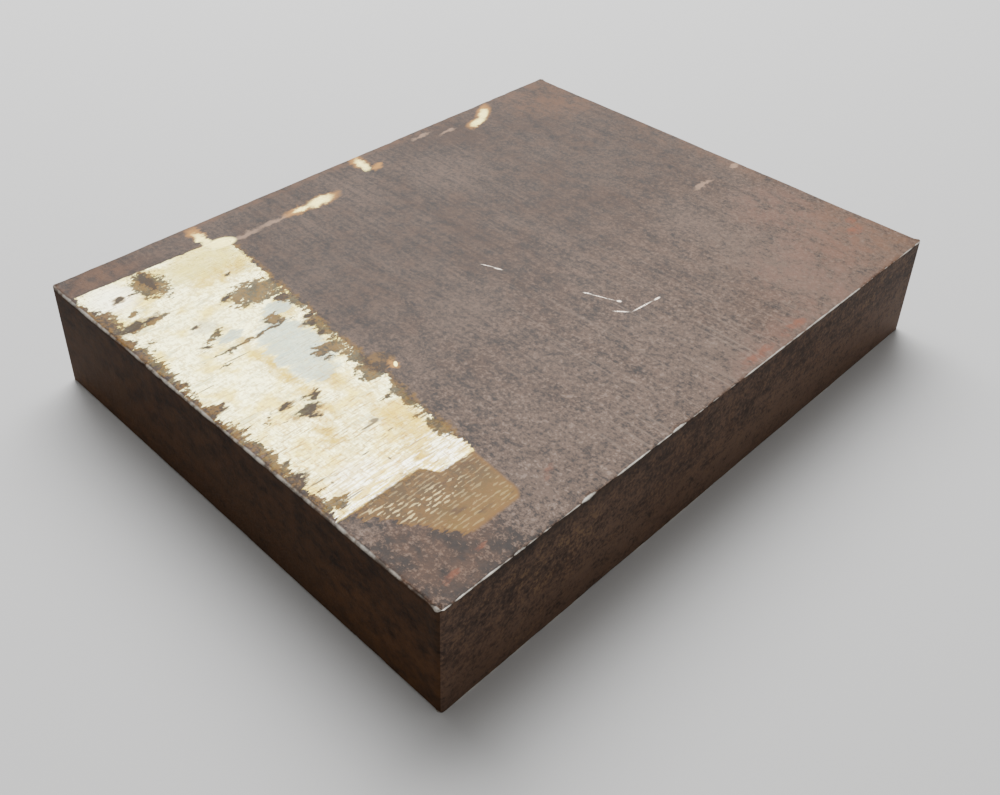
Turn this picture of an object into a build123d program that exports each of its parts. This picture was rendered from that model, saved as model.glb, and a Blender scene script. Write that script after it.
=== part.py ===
from build123d import *
import math
import os

# Hot rolled steel flat bar, sawn to a short length. Millimetres, +Z up.
# X runs across the rolled width, Y along the rolling direction.
# The origin is at the middle of the face that the bar lies on.

# The section, as it leaves the rolls
bar_width = 150.0
bar_thickness = 25.0
rolled_corner_radius = 0.8

# The piece sawn from it, and the upright corners, worn where the saw cuts end
cut_length = 118.0
upright_corner_radius = 1.2

# Knocks on the upper edge of the front sawn end.
# Each one: distance from the left rolled edge, length along the edge, depth.
edge_knocks = [
    (17.5, 3.0, 0.25),
    (34.5, 4.5, 0.45),
    (59.0, 3.5, 0.40),
]


def sawn_bar():
    """The section pushed along the rolling direction, then cut to its plan."""
    section = RectangleRounded(bar_width, bar_thickness, rolled_corner_radius)
    upright_section = Plane.XZ * Pos(0, bar_thickness / 2) * section
    rolled = extrude(upright_section, amount=cut_length / 2, both=True)
    plan = RectangleRounded(bar_width, cut_length, upright_corner_radius)
    return rolled & extrude(plan, amount=bar_thickness)


def knock(from_left, length, depth):
    """The scoop that a blow leaves across the upper front edge."""
    radius = (length**2 / 4 + depth**2) / (2 * depth)
    outward = (radius - depth) * math.sqrt(0.5)
    centre = (
        from_left - bar_width / 2,
        -cut_length / 2 - outward,
        bar_thickness + outward,
    )
    across_edge = Plane(origin=centre, x_dir=(1, 0, 0), z_dir=(0, 1, 1))
    return across_edge * Cylinder(radius, length)


flat_bar = sawn_bar()
for from_left, length, depth in edge_knocks:
    flat_bar -= knock(from_left, length, depth)

os.makedirs("parts", exist_ok=True)
export_step(flat_bar, "parts/flat_bar.step")
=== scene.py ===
import math

import bpy
from mathutils import Matrix, Vector, noise


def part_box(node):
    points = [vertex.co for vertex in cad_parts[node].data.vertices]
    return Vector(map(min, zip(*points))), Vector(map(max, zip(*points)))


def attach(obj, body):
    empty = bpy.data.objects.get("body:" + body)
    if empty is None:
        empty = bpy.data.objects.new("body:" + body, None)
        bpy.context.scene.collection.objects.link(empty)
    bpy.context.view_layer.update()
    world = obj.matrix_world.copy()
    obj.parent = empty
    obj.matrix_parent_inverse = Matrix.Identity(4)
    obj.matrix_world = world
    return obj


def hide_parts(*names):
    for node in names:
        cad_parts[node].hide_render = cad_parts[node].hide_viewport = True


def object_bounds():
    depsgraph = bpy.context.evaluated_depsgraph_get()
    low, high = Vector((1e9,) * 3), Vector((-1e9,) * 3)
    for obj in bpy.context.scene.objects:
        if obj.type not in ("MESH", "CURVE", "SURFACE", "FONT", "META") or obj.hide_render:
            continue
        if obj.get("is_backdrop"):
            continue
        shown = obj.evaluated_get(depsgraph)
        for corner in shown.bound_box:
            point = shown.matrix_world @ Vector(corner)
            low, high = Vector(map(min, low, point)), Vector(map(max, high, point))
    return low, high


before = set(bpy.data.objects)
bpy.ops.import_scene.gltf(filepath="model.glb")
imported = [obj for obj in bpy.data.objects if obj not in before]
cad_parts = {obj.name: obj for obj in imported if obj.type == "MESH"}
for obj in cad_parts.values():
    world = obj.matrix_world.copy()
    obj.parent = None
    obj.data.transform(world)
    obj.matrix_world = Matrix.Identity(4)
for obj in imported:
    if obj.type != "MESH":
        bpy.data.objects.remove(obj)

MM = 0.001
cad_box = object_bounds()

# ---------------------------------------------------------------- the bar's sizes

LOW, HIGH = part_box("flat_bar")
HALF_WIDTH = (HIGH.x - LOW.x) / 2 / MM
HALF_LENGTH = (HIGH.y - LOW.y) / 2 / MM
THICKNESS = (HIGH.z - LOW.z) / MM
HALF_THICKNESS = THICKNESS / 2

ROLLED_CORNER = 0.8
UPRIGHT_CORNER = 1.2
SAWN_EDGE = 0.22

# Knocks on the upper front edge: distance from the left edge, length, depth.
EDGE_KNOCKS = [(17.5, 3.0, 0.25), (34.5, 4.5, 0.45), (59.0, 3.5, 0.40)]
KNOCK_REACH = 0.9
BURR_PUSH = 1.2

# Mesh lines, in millimetres from an edge, and the spacing past the last of them
NEAR_EDGE = [0.0, 0.12, 0.3, 0.6, 1.0, 1.6]
TOP_SPACING = 0.7
SIDE_SPACING = 0.8
UNDERSIDE_STEP = 4

# Which finish each side of the bar takes
ROLLED_FACE, ROLLED_EDGE, SAWN_END, UNDERSIDE = range(4)


# ---------------------------------------------------------------- shape of the bar

def graded(half, spacing):
    """Places from -half to half, close together near both ends.

    The cells between are a whole number of the underside's large ones.
    """
    start = [step - half for step in NEAR_EDGE]
    inner = -start[-1]
    count = UNDERSIDE_STEP * round(2 * inner / spacing / UNDERSIDE_STEP)
    middle = [-inner + 2 * inner * i / count for i in range(1, count)]
    return start + middle + [-place for place in reversed(start)]


def rounded(a, b, half_a, half_b, radius):
    """Moves a point of a square corner onto the arc that rounds it."""
    over_a = abs(a) - (half_a - radius)
    over_b = abs(b) - (half_b - radius)
    if over_a <= 0 or over_b <= 0:
        return a, b
    pull = radius / math.hypot(over_a, over_b)
    new_a = math.copysign(half_a - radius + over_a * pull, a)
    new_b = math.copysign(half_b - radius + over_b * pull, b)
    return new_a, new_b


def sawn_edge_radius(x, y, z):
    """The sawn edges are ragged, so their small radius wanders."""
    coarse = noise.noise(Vector((x * 0.45, y, z)))
    fine = noise.noise(Vector((x * 1.9, y + 7, z)))
    return SAWN_EDGE * (1 + 0.55 * coarse + 0.4 * fine)


def knocked(x, y, z):
    """Pushes the upper front edge in where it has been hit."""
    from_front = y + HALF_LENGTH
    from_top = HALF_THICKNESS - z
    near = max(0.0, 1 - (from_front + from_top) / KNOCK_REACH)
    if near <= 0:
        return x, y, z
    for from_left, span, depth in EDGE_KNOCKS:
        along = (x + HALF_WIDTH - from_left) / (span / 2)
        if abs(along) < 1:
            push = depth * (1 - along**2) * near * math.sqrt(0.5)
            y += push
            z -= push
    return x, y, z


def shaped(x, y, z):
    """A point of the plain box, moved onto the worn bar."""
    x, z = rounded(x, z, HALF_WIDTH, HALF_THICKNESS, ROLLED_CORNER)
    x, y = rounded(x, y, HALF_WIDTH, HALF_LENGTH, UPRIGHT_CORNER)
    y, z = rounded(y, z, HALF_LENGTH, HALF_THICKNESS, sawn_edge_radius(x, y, z))
    return knocked(x, y, z)


def cell_outline(i0, i1, j0, j1, first, last_i, last_j):
    """Corners of a large cell, with every small step on the ring around them."""
    outline = []
    outline += [(i, j0) for i in (range(i0, i1) if j0 == first else (i0,))]
    outline += [(i1, j) for j in (range(j0, j1) if i1 == last_i else (j0,))]
    outline += [(i, j1) for i in (range(i1, i0, -1) if j1 == last_j else (i1,))]
    outline += [(i0, j) for j in (range(j1, j0, -1) if i0 == first else (j1,))]
    return outline


def side_cells(count_a, count_b, step=1):
    """Outlines of the cells of one side, as pairs of line numbers."""
    first = len(NEAR_EDGE) - 1
    last_a = count_a - 1 - first
    last_b = count_b - 1 - first
    for a in range(count_a - 1):
        for b in range(count_b - 1):
            inside = first <= a < last_a and first <= b < last_b
            if step > 1 and inside:
                if (a - first) % step == 0 and (b - first) % step == 0:
                    yield cell_outline(a, a + step, b, b + step, first, last_a, last_b)
            else:
                yield [(a, b), (a + 1, b), (a + 1, b + 1), (a, b + 1)]


# Where each side lies on the bar's own map: left, bottom, and map widths per mm
MAP_PLACES = {
    "top": (0.010, 0.010, 0.0052, 0.0052),
    "front": (0.010, 0.640, 0.0036, 0.0064),
    "back": (0.010, 0.820, 0.0036, 0.0064),
    "left": (0.800, 0.010, 0.0036, 0.0050),
    "right": (0.900, 0.010, 0.0036, 0.0050),
    "under": (0.565, 0.640, 0.0028, 0.0028),
}


def map_place(side, x, y, z):
    """Place on the bar's map of a point of one side of the plain box."""
    along = {
        "top": (x + HALF_WIDTH, y + HALF_LENGTH),
        "under": (x + HALF_WIDTH, y + HALF_LENGTH),
        "front": (x + HALF_WIDTH, z + HALF_THICKNESS),
        "back": (x + HALF_WIDTH, z + HALF_THICKNESS),
        "left": (z + HALF_THICKNESS, y + HALF_LENGTH),
        "right": (z + HALF_THICKNESS, y + HALF_LENGTH),
    }[side]
    left, bottom, per_a, per_b = MAP_PLACES[side]
    return left + along[0] * per_a, bottom + along[1] * per_b


def bar_mesh():
    """The worn bar before its fine relief: closed, in millimetre-fine cells."""
    xs = graded(HALF_WIDTH, TOP_SPACING)
    ys = graded(HALF_LENGTH, TOP_SPACING)
    zs = graded(HALF_THICKNESS, SIDE_SPACING)
    end_x, end_y, end_z = len(xs) - 1, len(ys) - 1, len(zs) - 1
    sides = [
        ("top", ROLLED_FACE, len(xs), len(ys), 1, lambda a, b: (a, b, end_z), False),
        ("under", UNDERSIDE, len(xs), len(ys), UNDERSIDE_STEP, lambda a, b: (a, b, 0), True),
        ("front", SAWN_END, len(xs), len(zs), 1, lambda a, b: (a, 0, b), False),
        ("back", SAWN_END, len(xs), len(zs), 1, lambda a, b: (a, end_y, b), True),
        ("left", ROLLED_EDGE, len(ys), len(zs), 1, lambda a, b: (0, a, b), True),
        ("right", ROLLED_EDGE, len(ys), len(zs), 1, lambda a, b: (end_x, a, b), False),
    ]
    numbers, points, faces, finishes, places = {}, [], [], [], []
    for side, finish, count_a, count_b, step, line_of, turned in sides:
        for outline in side_cells(count_a, count_b, step):
            lines = [line_of(a, b) for a, b in outline]
            if turned:
                lines.reverse()
            face = []
            for i, j, k in lines:
                plain = (xs[i], ys[j], zs[k])
                if (i, j, k) not in numbers:
                    numbers[i, j, k] = len(points)
                    x, y, z = shaped(*plain)
                    points.append((x * MM, y * MM, (z + HALF_THICKNESS) * MM))
                face.append(numbers[i, j, k])
                places.append(map_place(side, *plain))
            faces.append(face)
            finishes.append(finish)
    mesh = bpy.data.meshes.new("flat_bar_steel")
    mesh.from_pydata(points, [], faces)
    mesh.polygons.foreach_set("use_smooth", [True] * len(faces))
    finish_of = mesh.attributes.new("finish", "INT", "FACE")
    finish_of.data.foreach_set("value", finishes)
    layer = mesh.uv_layers.new(name="OFBake")
    layer.data.foreach_set("uv", [value for place in places for value in place])
    return mesh


# ---------------------------------------------------------------- node trees

class Recipe:
    """A node tree and the short calls that add steps to it."""

    def __init__(self, tree):
        self.tree = tree

    def add(self, kind, *values, **settings):
        """One node: its settings by name, then its inputs in order."""
        node = self.tree.nodes.new(kind)
        for name, value in settings.items():
            setattr(node, name, value)
        for number, value in enumerate(values):
            self.feed(node.inputs[number], value)
        return node

    def feed(self, socket, value):
        """Joins another step's result to a socket, or sets it to a plain value."""
        if isinstance(value, bpy.types.NodeSocket):
            self.tree.links.new(value, socket)
        elif value is not None:
            socket.default_value = value

    def math(self, operation, a, b=None, c=None):
        return self.add("ShaderNodeMath", a, b, c, operation=operation).outputs[0]

    def plus(self, a, b):
        return self.math("ADD", a, b)

    def minus(self, a, b):
        return self.math("SUBTRACT", a, b)

    def times(self, a, b):
        return self.math("MULTIPLY", a, b)

    def least(self, first, *others):
        for other in others:
            first = self.math("MINIMUM", first, other)
        return first

    def most(self, first, *others):
        for other in others:
            first = self.math("MAXIMUM", first, other)
        return first

    def without(self, mask, hole):
        return self.times(mask, self.minus(1.0, hole))

    def rise(self, value, start, end):
        """0 up to start, 1 from end on, and a soft slope between."""
        return self.add(
            "ShaderNodeMapRange", value, start, end, 0.0, 1.0,
            interpolation_type="SMOOTHSTEP",
        ).outputs[0]

    def vector(self, operation, a, b, c=None):
        return self.add("ShaderNodeVectorMath", a, b, c, operation=operation).outputs[0]

    def dot(self, vector, direction):
        node = self.add("ShaderNodeVectorMath", vector, direction, operation="DOT_PRODUCT")
        return node.outputs["Value"]

    def joined(self, x, y, z):
        return self.add("ShaderNodeCombineXYZ", x, y, z).outputs[0]

    def parted(self, vector):
        return self.add("ShaderNodeSeparateXYZ", vector).outputs

    def noise(self, place, size=(1, 1, 1), detail=3.0, roughness=0.55, shift=0.0):
        """Cloudy noise about 0.5, whose lumps are about size millimetres across."""
        scaled = self.vector("MULTIPLY", place, tuple(1 / side for side in size))
        moved = self.vector("ADD", scaled, (shift, shift * 1.7, shift * 2.3))
        node = self.add("ShaderNodeTexNoise")
        self.feed(node.inputs["Vector"], moved)
        node.inputs["Scale"].default_value = 1.0
        node.inputs["Detail"].default_value = detail
        node.inputs["Roughness"].default_value = roughness
        return node.outputs[0]


class Finish(Recipe):
    """One material of the bar, on the object's own coordinates in millimetres."""

    def __init__(self, name):
        self.material = bpy.data.materials.new(name)
        self.material.use_nodes = True
        super().__init__(self.material.node_tree)
        self.tree.nodes.clear()
        place = self.add("ShaderNodeTexCoord").outputs["Object"]
        self.place = self.vector("MULTIPLY", place, (1000, 1000, 1000))
        self.x, self.y, self.z = self.parted(self.place)

    def blend(self, mask, under, over):
        """Paints one colour over another where the mask is 1."""
        node = self.add("ShaderNodeMix", data_type="RGBA")
        self.feed(node.inputs[0], mask)
        self.feed(node.inputs[6], under)
        self.feed(node.inputs[7], over)
        return node.outputs[2]

    def tint(self, colour, mask, share, over):
        """Paints one colour over another by a share of the mask."""
        return self.blend(self.times(mask, share), colour, over)

    def stray(self, cloud, size):
        """How far a noise strays from its middle, times a size."""
        return self.times(self.minus(cloud, 0.5), size)

    def between(self, mask, low, high):
        """A plain number that goes from low to high with the mask."""
        node = self.add("ShaderNodeMix", data_type="FLOAT")
        self.feed(node.inputs[0], mask)
        self.feed(node.inputs[2], low)
        self.feed(node.inputs[3], high)
        return node.outputs[0]

    def oval(self, place, centre, size, turn):
        """How far out of an oval a point is, squared: 1 on the outline."""
        if not turn:
            scale = (1 / size[0], 1 / size[1], 0.0)
            shift = (-centre[0] / size[0], -centre[1] / size[1], 0.0)
            scaled = self.vector("MULTIPLY_ADD", place, scale, shift)
            return self.dot(scaled, scaled)
        cosine, sine = math.cos(math.radians(turn)), math.sin(math.radians(turn))
        from_centre = self.vector("SUBTRACT", place, (*centre, 0.0))
        along = self.dot(from_centre, (cosine / size[0], sine / size[0], 0.0))
        across = self.dot(from_centre, (-sine / size[1], cosine / size[1], 0.0))
        return self.math("MULTIPLY_ADD", along, along, self.times(across, across))

    def nearest(self, marks, place=None):
        """How far out of the nearest of several ovals a point is, squared."""
        place = place or self.ragged
        return self.least(*[self.oval(place, *mark) for mark in marks])

    def spots(self, marks, soft=0.35, place=None):
        """Oval marks as one mask: centre, half sizes and angle of each."""
        return self.rise(self.nearest(marks, place), 1.0, (1 - soft) ** 2)

    def surface(self, colour, roughness, metal, height, bump_height, shine=0.5):
        """Joins the layers to one shader and its output."""
        shader = self.add("ShaderNodeBsdfPrincipled")
        shader.inputs["Specular IOR Level"].default_value = shine
        self.feed(shader.inputs["Base Color"], colour)
        self.feed(shader.inputs["Roughness"], roughness)
        self.feed(shader.inputs["Metallic"], metal)
        bump = self.add("ShaderNodeBump")
        bump.inputs["Strength"].default_value = 1.0
        bump.inputs["Distance"].default_value = bump_height * MM
        self.feed(bump.inputs["Height"], height)
        self.feed(shader.inputs["Normal"], bump.outputs[0])
        output = self.add("ShaderNodeOutputMaterial")
        self.tree.links.new(shader.outputs[0], output.inputs["Surface"])
        return self.material


def paint(red, green, blue):
    """A colour given as screen values from 0 to 255."""
    def linear(value):
        value /= 255
        return value / 12.92 if value <= 0.04045 else ((value + 0.055) / 1.055) ** 2.4
    return (linear(red), linear(green), linear(blue), 1.0)


# ---------------------------------------------------------------- finishes

def edge_distance(finish, across, half_across):
    """How far a point is from an upper or lower edge, along either face."""
    from_side = finish.minus(half_across, finish.math("ABSOLUTE", across))
    centred = finish.math("ABSOLUTE", finish.minus(finish.z, HALF_THICKNESS))
    return finish.plus(from_side, finish.minus(HALF_THICKNESS, centred))


def knocked_in(finish):
    """How far the knocks have pushed the burr of the upper front edge in."""
    pushed = 0.0
    for from_left, span, depth in EDGE_KNOCKS:
        half = span / 2
        along = finish.math("MULTIPLY_ADD", finish.x, 1 / half, (HALF_WIDTH - from_left) / half)
        dent = finish.most(finish.minus(1.0, finish.times(along, along)), 0.0)
        pushed = finish.math("MULTIPLY_ADD", dent, depth * BURR_PUSH, pushed)
    at_front = finish.times(finish.rise(finish.y, -20, -40), finish.rise(finish.z, 8, 16))
    return finish.times(pushed, at_front)


def wear_edges(finish, colour, roughness, metal):
    """Bright burr along the front sawn edge, and faint wear on the others."""
    ragged = finish.noise(finish.place, (3.4, 3.4, 3.4), detail=5.0, roughness=0.6, shift=11.0)
    from_sawn = finish.minus(edge_distance(finish, finish.y, HALF_LENGTH), knocked_in(finish))
    from_rolled = edge_distance(finish, finish.x, HALF_WIDTH)
    reach = finish.between(finish.rise(ragged, 0.34, 0.66), 0.17, 0.28)
    burr = finish.minus(1.0, finish.rise(finish.math("DIVIDE", from_sawn, reach), 0.5, 1.15))
    share = finish.times(
        finish.between(finish.rise(finish.y, -50, 0), 1.0, 0.2),
        finish.between(finish.rise(finish.x, -20, 20), 0.95, 0.6))
    burr = finish.times(burr, share)
    rubbed = finish.rise(from_rolled, finish.between(ragged, 0.56, 0.74), 0.46)
    rubbed = finish.times(rubbed, finish.between(finish.rise(ragged, 0.38, 0.6), 0.08, 0.4))
    worn = finish.most(burr, rubbed)
    colour = finish.blend(worn, colour, paint(255, 250, 238))
    roughness = finish.between(worn, roughness, 0.34)
    metal = finish.between(worn, metal, 0.05)
    return colour, roughness, metal


def patina(finish, dark, light, warm, streaks, streak_share, speckle, lift=0.5, mottling=0.8):
    """Brown rust over mill scale: its colour, its height, its fine and its coarse grain."""
    cloud = finish.noise(finish.place, (24, 30, 16), detail=5.0, roughness=0.6)
    mottle = finish.noise(finish.place, (3.4, 4.4, 3.4), detail=5.0, roughness=0.68, shift=6.0)
    grain = finish.noise(finish.place, streaks, detail=4.0, roughness=0.6, shift=3.1)
    speck = finish.noise(finish.place, (0.7, 0.85, 0.7), detail=3.0, roughness=0.7, shift=7.7)
    tone = finish.math("MULTIPLY_ADD", finish.minus(cloud, 0.5), 0.55, lift)
    tone = finish.plus(tone, finish.stray(mottle, mottling))
    tone = finish.plus(tone, finish.stray(grain, streak_share))
    tone = finish.plus(tone, finish.stray(speck, speckle))
    colour = finish.blend(finish.rise(tone, 0.24, 0.76), dark, light)
    warmth = finish.plus(finish.times(mottle, 0.5), finish.times(finish.minus(1.0, cloud), 0.5))
    colour = finish.tint(colour, finish.rise(warmth, 0.46, 0.62), 0.3, warm)
    height = finish.plus(finish.times(grain, 0.25), finish.times(speck, 0.75))
    return colour, height, speck, mottle


# Marks on the upper face: (centre, half sizes, angle), in millimetres from its middle

SCUFFED_CORNER = [((-76, -60), (34, 26), 0)]
WARM_RUST = [
    ((73, -50), (24, 24), 0),
    ((72, 50), (24, 20), 0),
    ((77, 0), (9, 40), 0),
    ((-66, 55.5), (12, 5), 0),
    ((-70, -52), (18, 14), 0),
    ((0, 59), (80, 3.0), 0),
]
ROSY_RUST = [
    ((50, -46), (26, 15), 0),
    ((30, -57), (40, 7), 0),
    ((62, -30), (14, 16), 0),
]
RED_FLECKS = [
    ((-69, -55), (2.4, 1.2), 10),
    ((-62, -54), (1.6, 0.8), 0),
    ((-41, -50), (2.0, 1.0), 20),
    ((67, -46), (3.8, 2.2), 0),
    ((71, -43), (2.0, 1.4), 0),
    ((12, -57), (7, 1.4), 0),
    ((26, -56.5), (6, 1.2), 0),
]
RUST_BITES = [
    ((-75, 40.0), (3.6, 6.0), 0),
    ((-74.6, 30.4), (2.8, 1.9), 0),
    ((-74.4, 2.8), (3.4, 2.0), 0),
    ((-74.6, 12.5), (1.9, 1.2), 0),
    ((-74.4, -5.4), (4.0, 0.5), 0),
    ((-74.2, -22.6), (3.6, 2.1), 12),
    ((-74.4, -27.2), (3.0, 2.0), 0),
    ((-42.5, -7.0), (3.6, 3.0), -20),
    ((-43.0, 22.8), (2.2, 1.2), 0),
]
DARK_BITES = [
    ((-70.5, 34.7), (6.2, 1.0), 2),
    ((-72.0, 2.4), (1.2, 0.9), 0),
    ((-73.6, -21.8), (2.6, 1.6), 14),
    ((-60.0, 47.2), (1.1, 2.8), 0),
    ((-60.0, 44.4), (0.9, 1.0), 0),
    ((-67.8, 44.7), (1.2, 0.9), 20),
    ((-65.0, 44.6), (0.8, 0.5), 0),
    ((-63.6, 19.1), (1.1, 0.7), 0),
    ((-61.4, 26.2), (0.8, 0.5), 0),
    ((-64.1, 12.0), (1.3, 0.28), 0),
    ((-61.2, 15.1), (0.4, 0.9), 0),
    ((-63.2, -5.2), (1.4, 0.8), 8),
    ((-59.2, -5.6), (0.7, 0.4), 0),
    ((-57.6, -6.4), (1.0, 1.3), -30),
    ((-60.6, -8.8), (3.2, 1.1), 0),
    ((-60.4, -10.6), (0.9, 1.0), 0),
    ((-44.5, 12.0), (1.4, 1.2), 0),
    ((-42.8, 14.0), (1.3, 0.7), -20),
    ((-46.7, 37.3), (0.7, 0.4), 0),
    ((-51.6, 30.5), (1.4, 0.6), 20),
    ((-44.6, 7.8), (0.8, 0.6), 0),
    ((-66.6, -5.4), (0.4, 0.4), 0),
    ((-67.8, -6.6), (0.3, 0.4), 0),
    ((-66.4, -8.6), (0.35, 0.3), 0),
    ((-70.4, 27.6), (0.4, 0.4), 0),
    ((-70.6, 25.6), (0.4, 0.35), 0),
    ((-56.4, -5.2), (0.4, 0.5), 0),
]
BROWN_SPOTS = [
    ((-60.2, 45.2), (4.0, 6.4), 0),
    ((-60.2, 21.3), (2.8, 0.9), 22),
    ((-48.7, 17.6), (2.2, 2.4), 0),
    ((-55.0, 15.7), (10.4, 0.55), 0),
    ((-46.3, 2.6), (4.4, 2.8), -8),
    ((-45.4, 28.4), (7.6, 4.6), 0),
    ((-43.4, 25.0), (5.0, 0.8), 0),
    ((-67.8, 38.6), (1.2, 0.9), 0),
    ((-41.6, 20.0), (2.0, 5.0), 0),
    ((-42.6, 9.6), (2.4, 5.6), 0),
    ((-43.8, -3.0), (2.6, 4.4), 0),
    ((-44.8, -8.0), (3.8, 3.6), 0),
    ((-45.0, -18.0), (2.0, 5.4), 0),
    ((-46.2, -28.6), (2.6, 3.4), 0),
    ((-47.5, -16.0), (2.8, 0.3), 0),
    ((-46.6, -23.6), (2.8, 0.4), 0),
    ((-67.0, 33.8), (5.0, 1.2), 4),
    ((-73.0, 39.4), (2.4, 5.4), 0),
    ((-73.2, 20.0), (1.2, 12.0), 0),
    ((-73.2, -12.0), (1.3, 12.0), 0),
    ((-72.0, -30.4), (3.2, 1.6), 0),
]
NICKS = [
    ((-68.6, -31.2), (2.6, 0.21), 0),
    ((-71.2, -32.2), (1.6, 0.19), 0),
    ((-71.8, -17.3), (1.0, 0.21), 0),
    ((-72.2, -13.4), (0.9, 0.19), 0),
    ((-47.2, -15.9), (1.8, 0.22), 0),
    ((-46.6, -24.6), (1.4, 0.29), 0),
    ((-60.6, -24.8), (1.0, 0.21), 0),
    ((-53.4, -23.1), (0.8, 0.21), 0),
    ((-55.4, -19.8), (2.6, 0.32), 0),
    ((-53.9, -19.3), (1.1, 0.6), -10),
    ((-71.0, -24.6), (2.2, 0.22), 0),
    ((-70.6, 8.8), (2.0, 0.19), 0),
    ((-72.0, 22.6), (1.4, 0.22), 0),
    ((-61.0, 12.6), (3.4, 0.22), -2),
    ((-69.2, -26.4), (0.3, 0.4), 0),
    ((-58.4, -28.6), (0.25, 0.56), 0),
]
GREY_SMUDGES = [
    ((-54.8, -20.0), (4.0, 0.6), 0),
    ((-54.0, -19.2), (1.2, 1.2), 0),
    ((-60.0, 25.0), (3.4, 3.6), 0),
]
GOLD_TINTS = [
    ((-50.2, -22.0), (4.6, 12.0), 0),
    ((-54.0, -30.0), (1.4, 6.5), 0),
    ((-51.5, -5.0), (4.0, 4.5), 0),
    ((-57.8, 2.0), (1.7, 26.0), 0),
    ((-47.0, 39.0), (9.0, 4.5), 0),
    ((-62.0, -17.0), (3.0, 9.0), 0),
    ((-44.5, 20.0), (3.0, 5.0), 0),
]
TAN_TINTS = [
    ((-48.0, 44.6), (12.0, 7.6), 0),
]
WHITE_AREAS = [
    ((-68.5, 46.0), (6.2, 7.0), 0),
    ((-65.5, -28.0), (6.5, 5.0), 0),
    ((-49.5, -34.0), (5.5, 4.2), 0),
    ((-58.0, -31.0), (3.4, 3.0), 0),
]
POLISHED_AREAS = [
    ((-50.6, 8.0), (6.0, 11.0), 0),
    ((-52.6, 0.0), (4.6, 4.0), 0),
    ((-46.0, 20.5), (4.0, 2.2), 0),
    ((-58.0, 19.0), (3.0, 2.0), 0),
]
CREAM_MARKS = [
    ((-42.4, 52.4), (1.6, 4.4), 0),
    ((-13.4, 48.0), (4.8, 2.0), 0),
    ((-18.6, 48.0), (3.0, 1.2), 0),
    ((5.2, 54.6), (1.7, 4.0), -10),
    ((42.8, 52.0), (3.8, 1.6), 14),
    ((47.0, 54.2), (3.8, 1.5), 36),
]
CRISP_MARKS = [
    ((-40.0, 48.6), (3.7, 2.2), -14),
    ((-40.6, -9.9), (0.45, 0.95), -35),
]
ORANGE_MARKS = [
    ((-41.0, -9.6), (1.3, 1.7), 0),
    ((-42.3, 55.4), (2.3, 4.0), 0),
    ((-19.2, 48.0), (5.4, 2.0), 0),
    ((-12.6, 48.0), (6.4, 2.5), 0),
    ((5.2, 56.0), (2.7, 4.4), -8),
    ((7.4, 51.6), (2.4, 1.7), 30),
    ((47.6, 54.8), (6.2, 2.3), 38),
    ((42.0, 52.0), (4.6, 2.2), 14),
]
FAINT_MARKS = [
    ((-34.0, 47.6), (4.6, 1.2), 0),
    ((-26.0, 48.0), (6.5, 1.0), 0),
    ((33.0, 53.4), (3.4, 1.0), 0),
    ((26.0, 56.0), (4.0, 0.8), 0),
    ((59.5, -9.2), (4.8, 0.9), 0),
    ((72.4, -9.2), (2.4, 0.9), 0),
]
SCRATCHES = [
    ((-3.2, -0.6), (1.3, 0.3), -70),
    ((-4.0, 1.8), (2.0, 0.14), -66),
    ((3.9, -20.0), (1.3, 0.28), -64),
    ((5.0, -23.0), (3.6, 0.14), -68),
    ((6.5, -26.4), (0.7, 0.45), -60),
    ((4.0, -29.0), (2.2, 0.22), -50),
    ((8.6, -30.9), (3.6, 0.24), -5),
    ((13.0, -31.3), (1.2, 0.34), -4),
]
SCORED_CLUSTERS = [
    ((-67, -38), (4.2, 4.4), 20),
    ((-60, -41), (9, 3), 0),
]

# The same on a rolled edge and on a sawn end, from the foot of its middle line
EDGE_RUST = [
    ((46, 1.5), (30, 5), 0),
    ((-46, 6), (26, 12), 0),
]
PALE_SAWN = [
    ((-50, 16), (20, 9), 0),
    ((-56, 5), (10, 4), 0),
    ((55, 20), (12, 5), 0),
]

# The ground strip's outline. A lean is how far a side moves for each millimetre along it.
STRIP_LEFT = -73.9
STRIP_TOP = 50.9
STRIP_TOP_LEAN = -0.045
STRIP_MIDDLE = -57.0
STRIP_RIGHT = -43.0
STRIP_RIGHT_LEAN = 0.094
STRIP_END = -34.3
STRIP_LONG_END = -37.6
STRIP_END_STEP = -55.5
STEP_SOFTNESS = 1.2

# The tinted stretch past its end, with one slanted side: a place on it, and its way in
TINT_START = -33.0
TINT_END = -51.2
TINT_CORNER = 2.6
TINT_SLANT_PLACE = (-71.0, -36.0)
TINT_SLANT_INWARD = (0.83, 0.56)

# Rows of grinding scores
ROW_PITCH = 0.85


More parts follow.
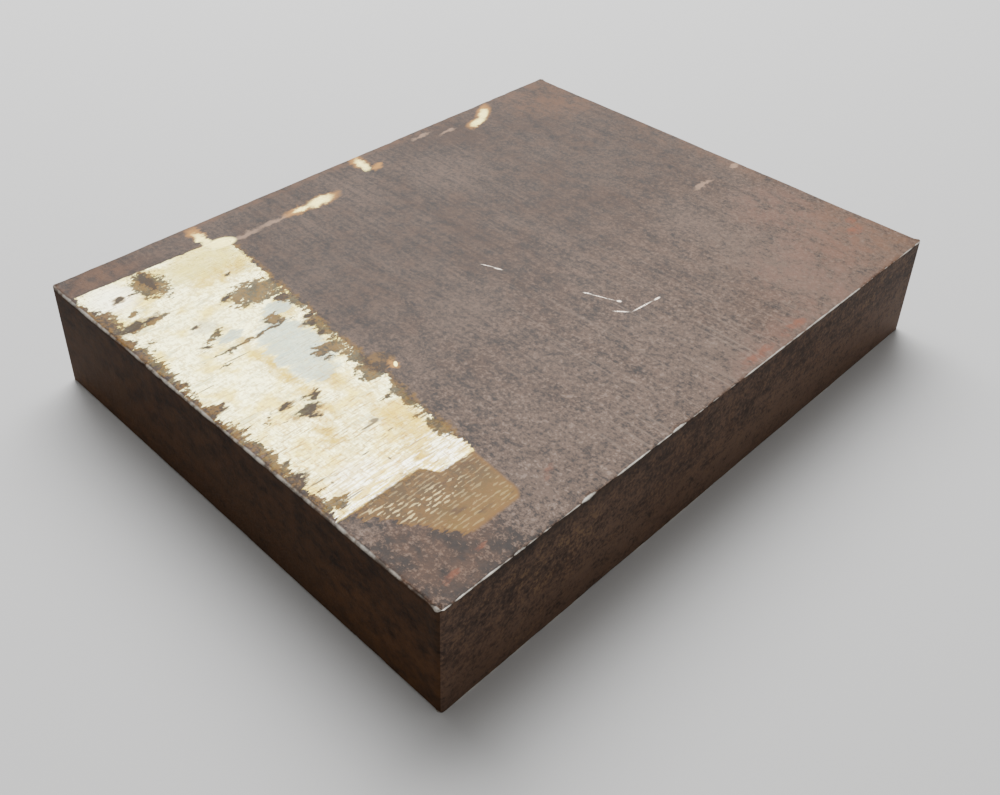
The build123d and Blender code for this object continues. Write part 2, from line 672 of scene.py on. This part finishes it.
def ground_strip(finish):
    """Masks of the strip ground bare and of the tinted stretch past its end.

    With them go how far inside each a point is, and the teeth of the outline.
    """
    teeth = finish.noise(finish.place, (7.0, 0.8, 9.0), detail=4.0, roughness=0.6, shift=2.0)
    fray = finish.noise(finish.place, (2.0, 1.6, 9.0), detail=4.0, roughness=0.6, shift=5.0)
    teeth = finish.minus(teeth, 0.5)
    fray = finish.minus(fray, 0.5)
    swing = finish.between(finish.rise(finish.x, -64, -54), 7.0, 2.6)
    calm = finish.between(finish.rise(finish.y, 24, 36), swing, 2.2)
    across = finish.plus(finish.times(teeth, calm), finish.times(fray, 3.2))
    along = finish.times(fray, 3.4)
    finish.ragged = finish.vector("ADD", finish.place, finish.joined(across, along, 0.0))
    x, y, _ = finish.parted(finish.ragged)

    from_left = finish.minus(x, STRIP_LEFT)
    right = finish.math("MULTIPLY_ADD", finish.y, STRIP_RIGHT_LEAN, STRIP_RIGHT)
    from_right = finish.minus(right, x)
    from_middle = finish.plus(finish.x, -STRIP_MIDDLE)
    top = finish.math("MULTIPLY_ADD", from_middle, STRIP_TOP_LEAN, STRIP_TOP)
    from_top = finish.minus(top, finish.between(0.3, finish.y, y))
    past_step = finish.rise(
        finish.x, STRIP_END_STEP - STEP_SOFTNESS, STRIP_END_STEP + STEP_SOFTNESS)
    end = finish.between(past_step, STRIP_END, STRIP_LONG_END)
    from_end = finish.minus(finish.between(0.35, finish.y, y), end)
    inside = finish.least(from_left, from_right, from_top, from_end)
    bare = finish.rise(inside, 0.0, 0.3)

    # The tinted stretch: a straight right edge, a slanted left one, a round corner
    soft_x = finish.between(0.12, finish.x, x)
    soft_y = finish.between(0.2, finish.y, y)
    tint_right = finish.minus(finish.plus(right, 0.1), soft_x)
    tint_end = finish.minus(soft_y, TINT_END)
    corner = finish.math(
        "SQRT",
        finish.plus(
            finish.math("POWER", finish.most(finish.minus(TINT_CORNER, tint_right), 0.0), 2.0),
            finish.math("POWER", finish.most(finish.minus(TINT_CORNER, tint_end), 0.0), 2.0)))
    round_inside = finish.minus(TINT_CORNER, corner)
    slant = finish.plus(
        finish.times(finish.plus(x, -TINT_SLANT_PLACE[0]), TINT_SLANT_INWARD[0]),
        finish.times(finish.plus(y, -TINT_SLANT_PLACE[1]), TINT_SLANT_INWARD[1]))
    into_tint = finish.least(round_inside, slant, finish.minus(TINT_START, soft_y))
    return bare, inside, from_end, finish.rise(into_tint, -0.1, 0.7), into_tint, teeth


def scale_lines(finish, colour, middle, low_front):
    """Light rolling lines along the bar."""
    lines = finish.noise(finish.place, (0.8, 50, 9), detail=2.0, roughness=0.6, shift=4.0)
    lines = finish.times(finish.rise(lines, 0.58, 0.70), finish.times(middle, low_front))
    return finish.tint(colour, lines, 0.5, paint(124, 106, 93))


def scale_flecks(finish, colour, speck, mottle, near, scuffed):
    """Flecks where the scale has chipped, fewer of them in the scuffed corner."""
    flecks = finish.rise(finish.plus(speck, finish.stray(mottle, 0.4)), 0.56, 0.68)
    flecks = finish.times(flecks, near)
    share = finish.minus(0.75, finish.times(scuffed, 0.26))
    return finish.tint(colour, flecks, share, paint(136, 118, 106))


def corner_rust(finish, colour, mottle, scuffed):
    """Warm rust towards the corners, rosier along the front, with red flecks in it."""
    warm = finish.times(finish.spots(WARM_RUST, soft=0.95), finish.rise(mottle, 0.3, 0.7))
    warm = finish.without(warm, finish.times(scuffed, 0.3))
    colour = finish.tint(colour, warm, 0.55, paint(106, 71, 46))
    rosy = finish.times(finish.spots(ROSY_RUST, soft=0.95), finish.rise(mottle, 0.36, 0.62))
    colour = finish.tint(colour, rosy, 0.45, paint(114, 80, 65))
    red = finish.times(finish.spots(RED_FLECKS, soft=0.9), finish.rise(mottle, 0.35, 0.6))
    return finish.tint(colour, red, 0.55, paint(126, 66, 38))


def tinted_steel(finish, into_tint, smears, rust_grain, ripple):
    """Straw and tan oxide colours, scored with short dashes whose glint is painted in as pale
    colour.
    """
    low_tint = finish.rise(finish.y, -40, -50)
    tan = finish.blend(low_tint, paint(92, 71, 41), paint(128, 97, 40))
    tan = finish.tint(tan, rust_grain, 0.7, paint(124, 90, 44))
    tan = finish.blend(finish.rise(smears, 0.56, 0.70), tan, paint(88, 64, 38))
    tan = finish.blend(finish.rise(into_tint, 1.6, 0.2), tan, paint(122, 86, 35))
    # Painted highlight: short pale dashes where the scores glint, denser in the scored clusters
    chip_glints = finish.noise(finish.place, (1.5, 0.6, 1), detail=2.0, roughness=0.5, shift=29.0)
    chip_glints = finish.rise(finish.plus(finish.times(ripple, 0.12), chip_glints), 0.59, 0.65)
    cluster = finish.spots(SCORED_CLUSTERS, soft=0.95)
    dash_glints = finish.times(chip_glints, finish.between(cluster, 0.25, 1.0))
    return finish.tint(tan, dash_glints, finish.rise(into_tint, 0.2, 1.4), paint(226, 200, 138))


def bare_steel(finish, speck, mottle, smears, dashes, score_glints):
    """Cream, with straw and grey areas, and grinding strokes across it; low down, the glint of
    the scores is painted in as bright rows.
    """
    strokes = finish.noise(finish.place, (6, 0.32, 1), detail=3.0, roughness=0.75, shift=8.0)
    patches = finish.noise(finish.place, (7, 6, 1), detail=4.0, roughness=0.6, shift=31.0)
    pale = finish.blend(
        finish.rise(patches, 0.36, 0.56), paint(214, 196, 96), paint(255, 252, 192))
    pale = finish.tint(pale, finish.rise(smears, 0.54, 0.66), 0.8, paint(182, 182, 138))
    ground = finish.blend(finish.rise(strokes, 0.26, 0.46), paint(172, 156, 88), pale)
    ground = finish.tint(ground, finish.rise(speck, 0.46, 0.60), 0.6, paint(178, 156, 88))
    ground = finish.tint(ground, finish.spots(TAN_TINTS, soft=0.6), 0.8, paint(188, 174, 82))
    gold = finish.spots(GOLD_TINTS, soft=0.95)
    ground = finish.tint(ground, gold, finish.rise(mottle, 0.3, 0.6), paint(170, 144, 42))
    white = finish.spots(WHITE_AREAS, soft=0.8)
    ground = finish.tint(ground, white, 0.75, paint(255, 253, 226))

    polished = finish.plus(finish.nearest(POLISHED_AREAS), finish.stray(smears, 3.2))
    polished = finish.rise(polished, 1.15, 0.5)
    ground = finish.tint(
        ground, polished, finish.between(strokes, 0.45, 1.2), paint(140, 156, 146))

    low_strip = finish.times(finish.rise(finish.y, -14, -32), finish.rise(dashes, 0.56, 0.44))
    ground = finish.tint(ground, low_strip, 0.75, paint(176, 148, 48))
    # Painted highlight: near-white rows where the grinding scores glint, on the lower strip
    ground = finish.tint(ground, finish.rise(finish.y, -24, -34), score_glints, paint(255, 253, 240))
    smudges = finish.spots(GREY_SMUDGES, soft=0.6)
    ground = finish.tint(ground, smudges, 0.5, paint(132, 132, 118))

    low_half = finish.rise(finish.y, 10, -16)
    hairs = finish.noise(finish.place, (3.0, 0.34, 1), detail=3.0, roughness=0.5, shift=13.0)
    hairs = finish.rise(hairs, 0.55, 0.66)
    ground = finish.tint(
        ground, hairs, finish.between(low_half, 0.35, 0.9), paint(128, 102, 48))
    fine = finish.noise(finish.place, (0.45, 2.6, 1), detail=4.0, roughness=0.75, shift=51.0)
    fine = finish.rise(fine, 0.50, 0.62)
    ground = finish.tint(ground, fine, finish.times(low_half, 0.6), paint(176, 144, 62))
    cross = finish.noise(finish.place, (0.3, 3.4, 1), detail=3.0, roughness=0.6, shift=23.0)
    ground = finish.tint(ground, finish.rise(cross, 0.54, 0.68), 0.4, paint(170, 152, 112))
    return ground, strokes, patches, low_half


def clean_marks(finish, colour, speck, dashes):
    """Knocks and scratches that show clean metal, and the orange rust round them."""
    faint = finish.times(finish.spots(FAINT_MARKS, soft=0.9), 0.35)
    colour = finish.blend(faint, colour, paint(206, 168, 138))
    orange = finish.spots(ORANGE_MARKS, soft=0.95)
    colour = finish.tint(colour, orange, 0.85, paint(186, 130, 54))
    cream = finish.times(finish.spots(CREAM_MARKS, soft=0.75), finish.rise(dashes, 0.16, 0.36))
    cream = finish.most(cream, finish.spots(CRISP_MARKS, soft=0.35, place=finish.place))
    colour = finish.blend(cream, colour, paint(255, 240, 150))
    scratch = finish.spots(SCRATCHES, soft=0.7, place=finish.place)
    scratch = finish.times(scratch, finish.rise(speck, 0.3, 0.5))
    colour = finish.tint(colour, scratch, 0.85, paint(216, 204, 190))
    return colour, cream, scratch


def rolled_face_finish():
    """The upper face: scale and rust, with the strip that was ground across them."""
    finish = Finish("rolled_face")
    low_front = finish.rise(finish.y, 20, -58)
    toward_left = finish.rise(finish.x, 40, -50)
    near = finish.times(low_front, finish.between(toward_left, 0.55, 1.0))
    middle = finish.times(finish.rise(finish.x, -60, -10), finish.rise(finish.x, 50, 10))
    streak_share = finish.between(middle, 0.22, 0.44)
    scuffed = finish.spots(SCUFFED_CORNER, soft=0.9, place=finish.place)
    scuffed = finish.times(scuffed, 2.0)
    lift = finish.plus(
        finish.between(low_front, 0.46, 0.575),
        finish.times(finish.times(low_front, finish.rise(finish.x, -10, 50)), 0.07))
    colour, height, speck, mottle = patina(
        finish, dark=paint(38, 30, 26), light=paint(97, 78, 66), warm=paint(90, 62, 44),
        streaks=(0.8, 18, 3), streak_share=streak_share,
        speckle=finish.plus(finish.between(near, 0.8, 1.9), finish.times(scuffed, 0.6)),
        lift=finish.minus(lift, finish.times(scuffed, 0.15)),
        mottling=finish.plus(finish.between(low_front, 0.26, 0.6), finish.times(scuffed, 0.6)))
    bare, inside, from_end, tinted, into_tint, teeth = ground_strip(finish)
    relief = finish.rise(inside, 0.0, 0.4)
    colour = scale_lines(finish, colour, middle, low_front)
    colour = scale_flecks(finish, colour, speck, mottle, near, scuffed)
    colour = corner_rust(finish, colour, mottle, scuffed)

    # Scores across the strip, close together, broken into dashes; their glint is painted in as
    # bright rows
    wobble = finish.times(teeth, 1.2)
    ripple = finish.math("MULTIPLY_ADD", finish.y, 2 * math.pi / ROW_PITCH, wobble)
    ripple = finish.math("SINE", ripple)
    dashes = finish.noise(finish.place, (3.4, 0.7, 1), detail=3.0, roughness=0.6, shift=1.0)
    score_glints = finish.rise(finish.plus(finish.times(ripple, 0.11), dashes), 0.58, 0.64)

    smears = finish.noise(finish.place, (9, 2.4, 1), detail=4.0, roughness=0.65, shift=37.0)
    rust_grain = finish.rise(finish.plus(mottle, finish.stray(speck, 0.8)), 0.4, 0.6)
    tan = tinted_steel(finish, into_tint, smears, rust_grain, ripple)
    colour = finish.tint(colour, tinted, 0.94, tan)
    ground, strokes, patches, low_half = bare_steel(
        finish, speck, mottle, smears, dashes, score_glints)

    # Rust that has crept back over the strip, crumbling at its edges
    crumbs = finish.noise(finish.place, (1.5, 0.9, 1.5), detail=4.0, roughness=0.7, shift=41.0)
    crumbs = finish.stray(crumbs, 3.6)
    dots = finish.rise(speck, 0.62, 0.67)
    around = finish.most(finish.rise(inside, 7.0, 0.5), finish.times(low_half, 0.8))
    dots = finish.times(dots, around)
    ground = finish.tint(ground, dots, 0.75, paint(116, 88, 38))
    rust = finish.blend(rust_grain, paint(60, 44, 24), paint(116, 84, 30))
    spots = finish.rise(finish.plus(finish.nearest(BROWN_SPOTS), crumbs), 0.95, 0.6)
    ground = finish.tint(ground, spots, 0.92, rust)
    from_dark = finish.plus(finish.nearest(DARK_BITES), finish.times(crumbs, 0.8))
    fringe = finish.times(finish.rise(from_dark, 2.6, 1.2), finish.rise(mottle, 0.36, 0.52))
    ground = finish.tint(ground, fringe, 0.8, rust)
    dark = finish.rise(from_dark, 1.1, 0.6)
    ground = finish.tint(ground, dark, 0.92, paint(54, 41, 26))
    nicks = finish.spots(NICKS, soft=0.4, place=finish.place)
    ground = finish.tint(ground, nicks, 0.9, paint(72, 60, 42))
    at_end = finish.rise(finish.plus(from_end, finish.times(crumbs, 0.5)), 0.9, 0.2)
    at_end = finish.times(at_end, finish.rise(finish.x, -50, -53))
    ground = finish.tint(ground, at_end, 0.85, rust)

    # Rust that bites into the strip from its left side, and the rusty rim round it
    bites = finish.plus(finish.nearest(RUST_BITES), finish.times(crumbs, 0.5))
    bites = finish.rise(bites, 1.0, 0.6)
    bare = finish.without(bare, bites)
    rim = finish.rise(finish.math("ABSOLUTE", finish.minus(inside, 0.2)), 1.5, 0.4)
    rim = finish.times(rim, finish.rise(mottle, 0.36, 0.56))
    rim = finish.most(rim, finish.times(bites, 0.8))
    rim = finish.times(rim, finish.rise(finish.y, 51.5, 49))
    rim = finish.times(rim, finish.rise(finish.y, -38, -34))
    colour = finish.tint(colour, rim, 0.9, rust)
    colour = finish.blend(bare, colour, ground)
    colour, cream, scratch = clean_marks(finish, colour, speck, dashes)

    clean = finish.without(bare, finish.most(spots, dark))
    clean = finish.most(clean, cream, scratch)
    roughness = finish.between(
        clean, finish.between(speck, 0.44, 0.66), finish.between(patches, 0.26, 0.5))
    metal = finish.times(clean, finish.between(cream, 0.6, 0.4))
    height = finish.between(relief, height, finish.times(strokes, 0.5))
    colour, roughness, metal = wear_edges(finish, colour, roughness, metal)
    return finish.surface(colour, roughness, metal, height, 0.14, shine=0.17)


def rolled_edge_finish():
    """The two rolled edges: dark scale, with warmer rust low down, and painted light that makes
    the left edge lighter towards the bottom to offset the shade near the floor.
    """
    finish = Finish("rolled_edge")
    # Painted light: the left edge is made lighter towards the bottom, to offset the shade near
    # the floor
    low = finish.times(finish.rise(finish.z, 20, 3), finish.rise(finish.x, 10, -10))
    colour, height, speck, mottle = patina(
        finish, dark=paint(34, 22, 14), light=paint(64, 44, 29), warm=paint(70, 41, 22),
        streaks=(3.0, 12, 2.2), streak_share=0.4, speckle=0.7,
        lift=finish.between(low, 0.5, 0.72))
    side = finish.joined(finish.y, finish.z, 0.0)
    warm = finish.spots(EDGE_RUST, soft=0.95, place=side)
    colour = finish.tint(
        colour, finish.rise(mottle, 0.35, 0.65), finish.between(warm, 0.12, 0.6),
        paint(84, 56, 32))
    roughness = finish.between(speck, 0.6, 0.8)
    colour, roughness, metal = wear_edges(finish, colour, roughness, 0.0)
    return finish.surface(colour, roughness, metal, height, 0.12, shine=0.1)


def sawn_end_finish():
    """The two sawn ends: grainy rust, with the saw's level lines in its height, and painted light
    that makes the front end lighter towards the bottom to offset the shade near the floor.
    """
    finish = Finish("sawn_end")
    # Painted light: the front end is made lighter towards the bottom, to offset the shade near
    # the floor
    low = finish.times(finish.rise(finish.z, 20, 3), finish.rise(finish.y, 10, -10))
    colour, height, speck, mottle = patina(
        finish, dark=paint(47, 34, 27), light=paint(96, 74, 60), warm=paint(88, 62, 46),
        streaks=(4.5, 3, 1.6), streak_share=0.6, speckle=1.2,
        lift=finish.between(low, 0.47, 0.66), mottling=0.5)
    saw = finish.noise(finish.place, (30, 30, 0.9), detail=3.0, roughness=0.6, shift=17.0)
    end = finish.joined(finish.x, finish.z, 0.0)
    pale = finish.spots(PALE_SAWN, soft=0.95, place=end)
    grains = finish.rise(finish.plus(speck, finish.stray(mottle, 0.9)), 0.56, 0.72)
    colour = finish.tint(colour, grains, finish.between(pale, 0.2, 0.7), paint(120, 94, 68))
    under_edge = finish.times(
        finish.rise(finish.z, THICKNESS - 3.5, THICKNESS - 0.6),
        finish.times(finish.rise(finish.x, -70, -56), finish.rise(finish.x, -6, -26)))
    colour = finish.tint(colour, under_edge, 0.55, paint(38, 30, 24))
    height = finish.plus(finish.times(height, 0.7), finish.times(saw, 0.6))
    roughness = finish.between(speck, 0.6, 0.8)
    colour, roughness, metal = wear_edges(finish, colour, roughness, 0.0)
    return finish.surface(colour, roughness, metal, height, 0.14, shine=0.2)


def underside_finish():
    """The face it lies on: plain scale and rust."""
    finish = Finish("underside")
    colour, height, speck, _ = patina(
        finish, dark=paint(50, 38, 33), light=paint(92, 74, 62), warm=paint(92, 60, 42),
        streaks=(0.9, 15, 3), streak_share=0.35, speckle=0.8)
    roughness = finish.between(speck, 0.55, 0.75)
    colour, roughness, metal = wear_edges(finish, colour, roughness, 0.0)
    return finish.surface(colour, roughness, metal, height, 0.12, shine=0.3)


# ---------------------------------------------------------------- relief

RELIEF_SIZES = {
    "Pit depth": 0.10,
    "Hollow depth": 0.10,
    "Saw mark depth": 0.07,
    "Saw mark pitch": 2.1,
    "Edge sway": 0.16,
    "Ground depth": 0.07,
    "Seed": 12.0,
}


def relief_tree(finishes):
    """Geometry Nodes that press the rolled, sawn and ground relief into the bar."""
    tree = bpy.data.node_groups.new("Bar relief", "GeometryNodeTree")

    def socket(name, kind, way="INPUT"):
        return tree.interface.new_socket(name, in_out=way, socket_type="NodeSocket" + kind)

    socket("Geometry", "Geometry")
    for name, size in RELIEF_SIZES.items():
        socket(name, "Float").default_value = size
    for material in finishes:
        socket(material.name, "Material")
    socket("Geometry", "Geometry", "OUTPUT")

    recipe = Recipe(tree)
    given = recipe.add("NodeGroupInput").outputs
    seed = given["Seed"]
    metres = recipe.add("GeometryNodeInputPosition").outputs[0]
    place = recipe.vector("MULTIPLY", metres, (1000, 1000, 1000))
    x, y, z = recipe.parted(place)
    seeded = recipe.vector("ADD", place, recipe.joined(seed, seed, seed))

    pits = recipe.rise(recipe.noise(seeded, (2.4, 2.8, 2.4), detail=3.0), 0.56, 0.76)
    depth = recipe.times(pits, given["Pit depth"])
    hollows = recipe.rise(recipe.noise(seeded, (16, 24, 12), detail=2.0), 0.54, 0.76)
    depth = recipe.plus(depth, recipe.times(hollows, given["Hollow depth"]))

    # The saw leaves level bands across both ends
    on_end = recipe.rise(recipe.math("ABSOLUTE", y), HALF_LENGTH - 0.4, HALF_LENGTH - 0.2)
    drift = recipe.times(recipe.noise(seeded, (26, 26, 5), detail=2.0), 14.0)
    turns = recipe.times(recipe.math("DIVIDE", z, given["Saw mark pitch"]), 2 * math.pi)
    band = recipe.rise(recipe.math("SINE", recipe.plus(turns, drift)), -0.2, 1.0)
    depth = recipe.plus(
        depth, recipe.times(recipe.times(band, on_end), given["Saw mark depth"]))

    # The rolled edges are not quite straight
    on_edge = recipe.rise(recipe.math("ABSOLUTE", x), HALF_WIDTH - 0.9, HALF_WIDTH - 0.3)
    sway = recipe.rise(recipe.noise(seeded, (50, 34, 40), detail=1.0), 0.48, 0.72)
    depth = recipe.plus(depth, recipe.times(recipe.times(sway, on_edge), given["Edge sway"]))

    # The ground strip is slightly dished
    across = recipe.times(recipe.rise(x, -74, -71), recipe.rise(x, -42, -47))
    along = recipe.times(recipe.rise(y, -37, -32), recipe.rise(y, 51, 48))
    on_top = recipe.rise(z, THICKNESS - 0.2, THICKNESS - 0.1)
    dish = recipe.times(recipe.times(across, along), on_top)
    depth = recipe.plus(depth, recipe.times(dish, given["Ground depth"]))

    # Nothing is pressed in at the four upright corners
    from_side = recipe.minus(HALF_WIDTH, recipe.math("ABSOLUTE", x))
    from_end = recipe.minus(HALF_LENGTH, recipe.math("ABSOLUTE", y))
    depth = recipe.times(depth, recipe.rise(recipe.plus(from_side, from_end), 1.2, 3.0))

    normal = recipe.add("GeometryNodeInputNormal").outputs[0]
    inward = recipe.add("ShaderNodeVectorMath", normal, operation="SCALE")
    recipe.feed(inward.inputs["Scale"], recipe.times(depth, -MM))
    moved = recipe.add("GeometryNodeSetPosition", given["Geometry"])
    recipe.feed(moved.inputs["Offset"], inward.outputs[0])
    shape = recipe.add("GeometryNodeRealizeInstances", moved.outputs[0]).outputs[0]
    side = recipe.add("GeometryNodeInputNamedAttribute", data_type="INT")
    side.inputs["Name"].default_value = "finish"
    for number, material in enumerate(finishes):
        same = recipe.add("FunctionNodeCompare", data_type="INT", operation="EQUAL")
        recipe.feed(same.inputs[2], side.outputs["Attribute"])
        recipe.feed(same.inputs[3], number)
        shape = recipe.add(
            "GeometryNodeSetMaterial", shape, same.outputs[0], given[material.name]).outputs[0]
    recipe.add("NodeGroupOutput", shape)
    return tree


# ---------------------------------------------------------------- pieces

def steel_bar():
    """The finished bar: its mesh with the relief pressed in, and its four finishes."""
    finishes = [rolled_face_finish(), rolled_edge_finish(), sawn_end_finish(), underside_finish()]
    mesh = bar_mesh()
    for material in finishes:
        mesh.materials.append(material)
    bar = bpy.data.objects.new("flat_bar_steel", mesh)
    bpy.context.scene.collection.objects.link(bar)
    tree = relief_tree(finishes)
    modifier = bar.modifiers.new("Bar relief", "NODES")
    modifier.node_group = tree
    values = {**RELIEF_SIZES, **{material.name: material for material in finishes}}
    for item in tree.interface.items_tree:
        if item.in_out == "INPUT" and item.name in values:
            modifier[item.identifier] = values[item.name]
    graph = bpy.context.evaluated_depsgraph_get()
    pressed = bpy.data.meshes.new_from_object(
        bar.evaluated_get(graph), preserve_all_data_layers=True, depsgraph=graph)
    bar.modifiers.clear()
    bar.data = pressed
    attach(bar, "root")
    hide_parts("flat_bar")


# ---------------------------------------------------------------- the set, in metres

FLOOR_HALF = 3.0
FLOOR_GREY = 0.52
SKY_STRENGTH = 0.42
CAMERA_PLACE = (-0.1518, -0.1422, 0.1637)
CAMERA_TARGET = (-0.0046, -0.0026, 0.025)
CAMERA_ROLL = 1.67


def floor():
    """The plain pale surface that the bar lies on."""
    mesh = bpy.data.meshes.new("floor")
    signs = [(-1, -1), (1, -1), (1, 1), (-1, 1)]
    corners = [(x * FLOOR_HALF, y * FLOOR_HALF, 0) for x, y in signs]
    mesh.from_pydata(corners, [], [(0, 1, 2, 3)])
    board = bpy.data.objects.new("floor", mesh)
    bpy.context.scene.collection.objects.link(board)
    material = bpy.data.materials.new("pale_floor")
    material.use_nodes = True
    shader = material.node_tree.nodes["Principled BSDF"]
    shader.inputs["Base Color"].default_value = (FLOOR_GREY, FLOOR_GREY, FLOOR_GREY, 1)
    shader.inputs["Roughness"].default_value = 0.8
    mesh.materials.append(material)
    board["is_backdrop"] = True


def aimed(obj, place, target, roll=0.0):
    """Stands a lamp or the camera at a place, looking at a target."""
    look = (Vector(target) - Vector(place)).to_track_quat("-Z", "Y").to_matrix()
    turned = look @ Matrix.Rotation(math.radians(roll), 3, "Z")
    obj.matrix_world = Matrix.Translation(place) @ turned.to_4x4()
    bpy.context.scene.collection.objects.link(obj)


def softbox(name, place, size, power):
    """A large soft lamp that looks at the bar."""
    lamp = bpy.data.lights.new(name, "AREA")
    lamp.shape = "RECTANGLE"
    lamp.size, lamp.size_y = size
    lamp.energy = power
    aimed(bpy.data.objects.new(name, lamp), place, (0, 0, 0))


def lights():
    world = bpy.data.worlds.new("studio")
    world.use_nodes = True
    sky = world.node_tree.nodes["Background"]
    sky.inputs["Color"].default_value = (1.0, 0.99, 0.97, 1)
    sky.inputs["Strength"].default_value = SKY_STRENGTH
    bpy.context.scene.world = world
    softbox("overhead_softbox", place=(0.35, 0.45, 0.75), size=(0.9, 0.7), power=24)


def camera():
    data = bpy.data.cameras.new("camera")
    data.sensor_width = 36.0
    data.lens = 41.4
    data.shift_y = -0.1225
    data.clip_start = 0.01
    obj = bpy.data.objects.new("camera", data)
    aimed(obj, CAMERA_PLACE, CAMERA_TARGET, roll=CAMERA_ROLL)
    bpy.context.scene.camera = obj


steel_bar()
floor()
lights()
camera()

visual_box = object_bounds()
plain = [[list(corner) for corner in box] for box in (cad_box, visual_box)]
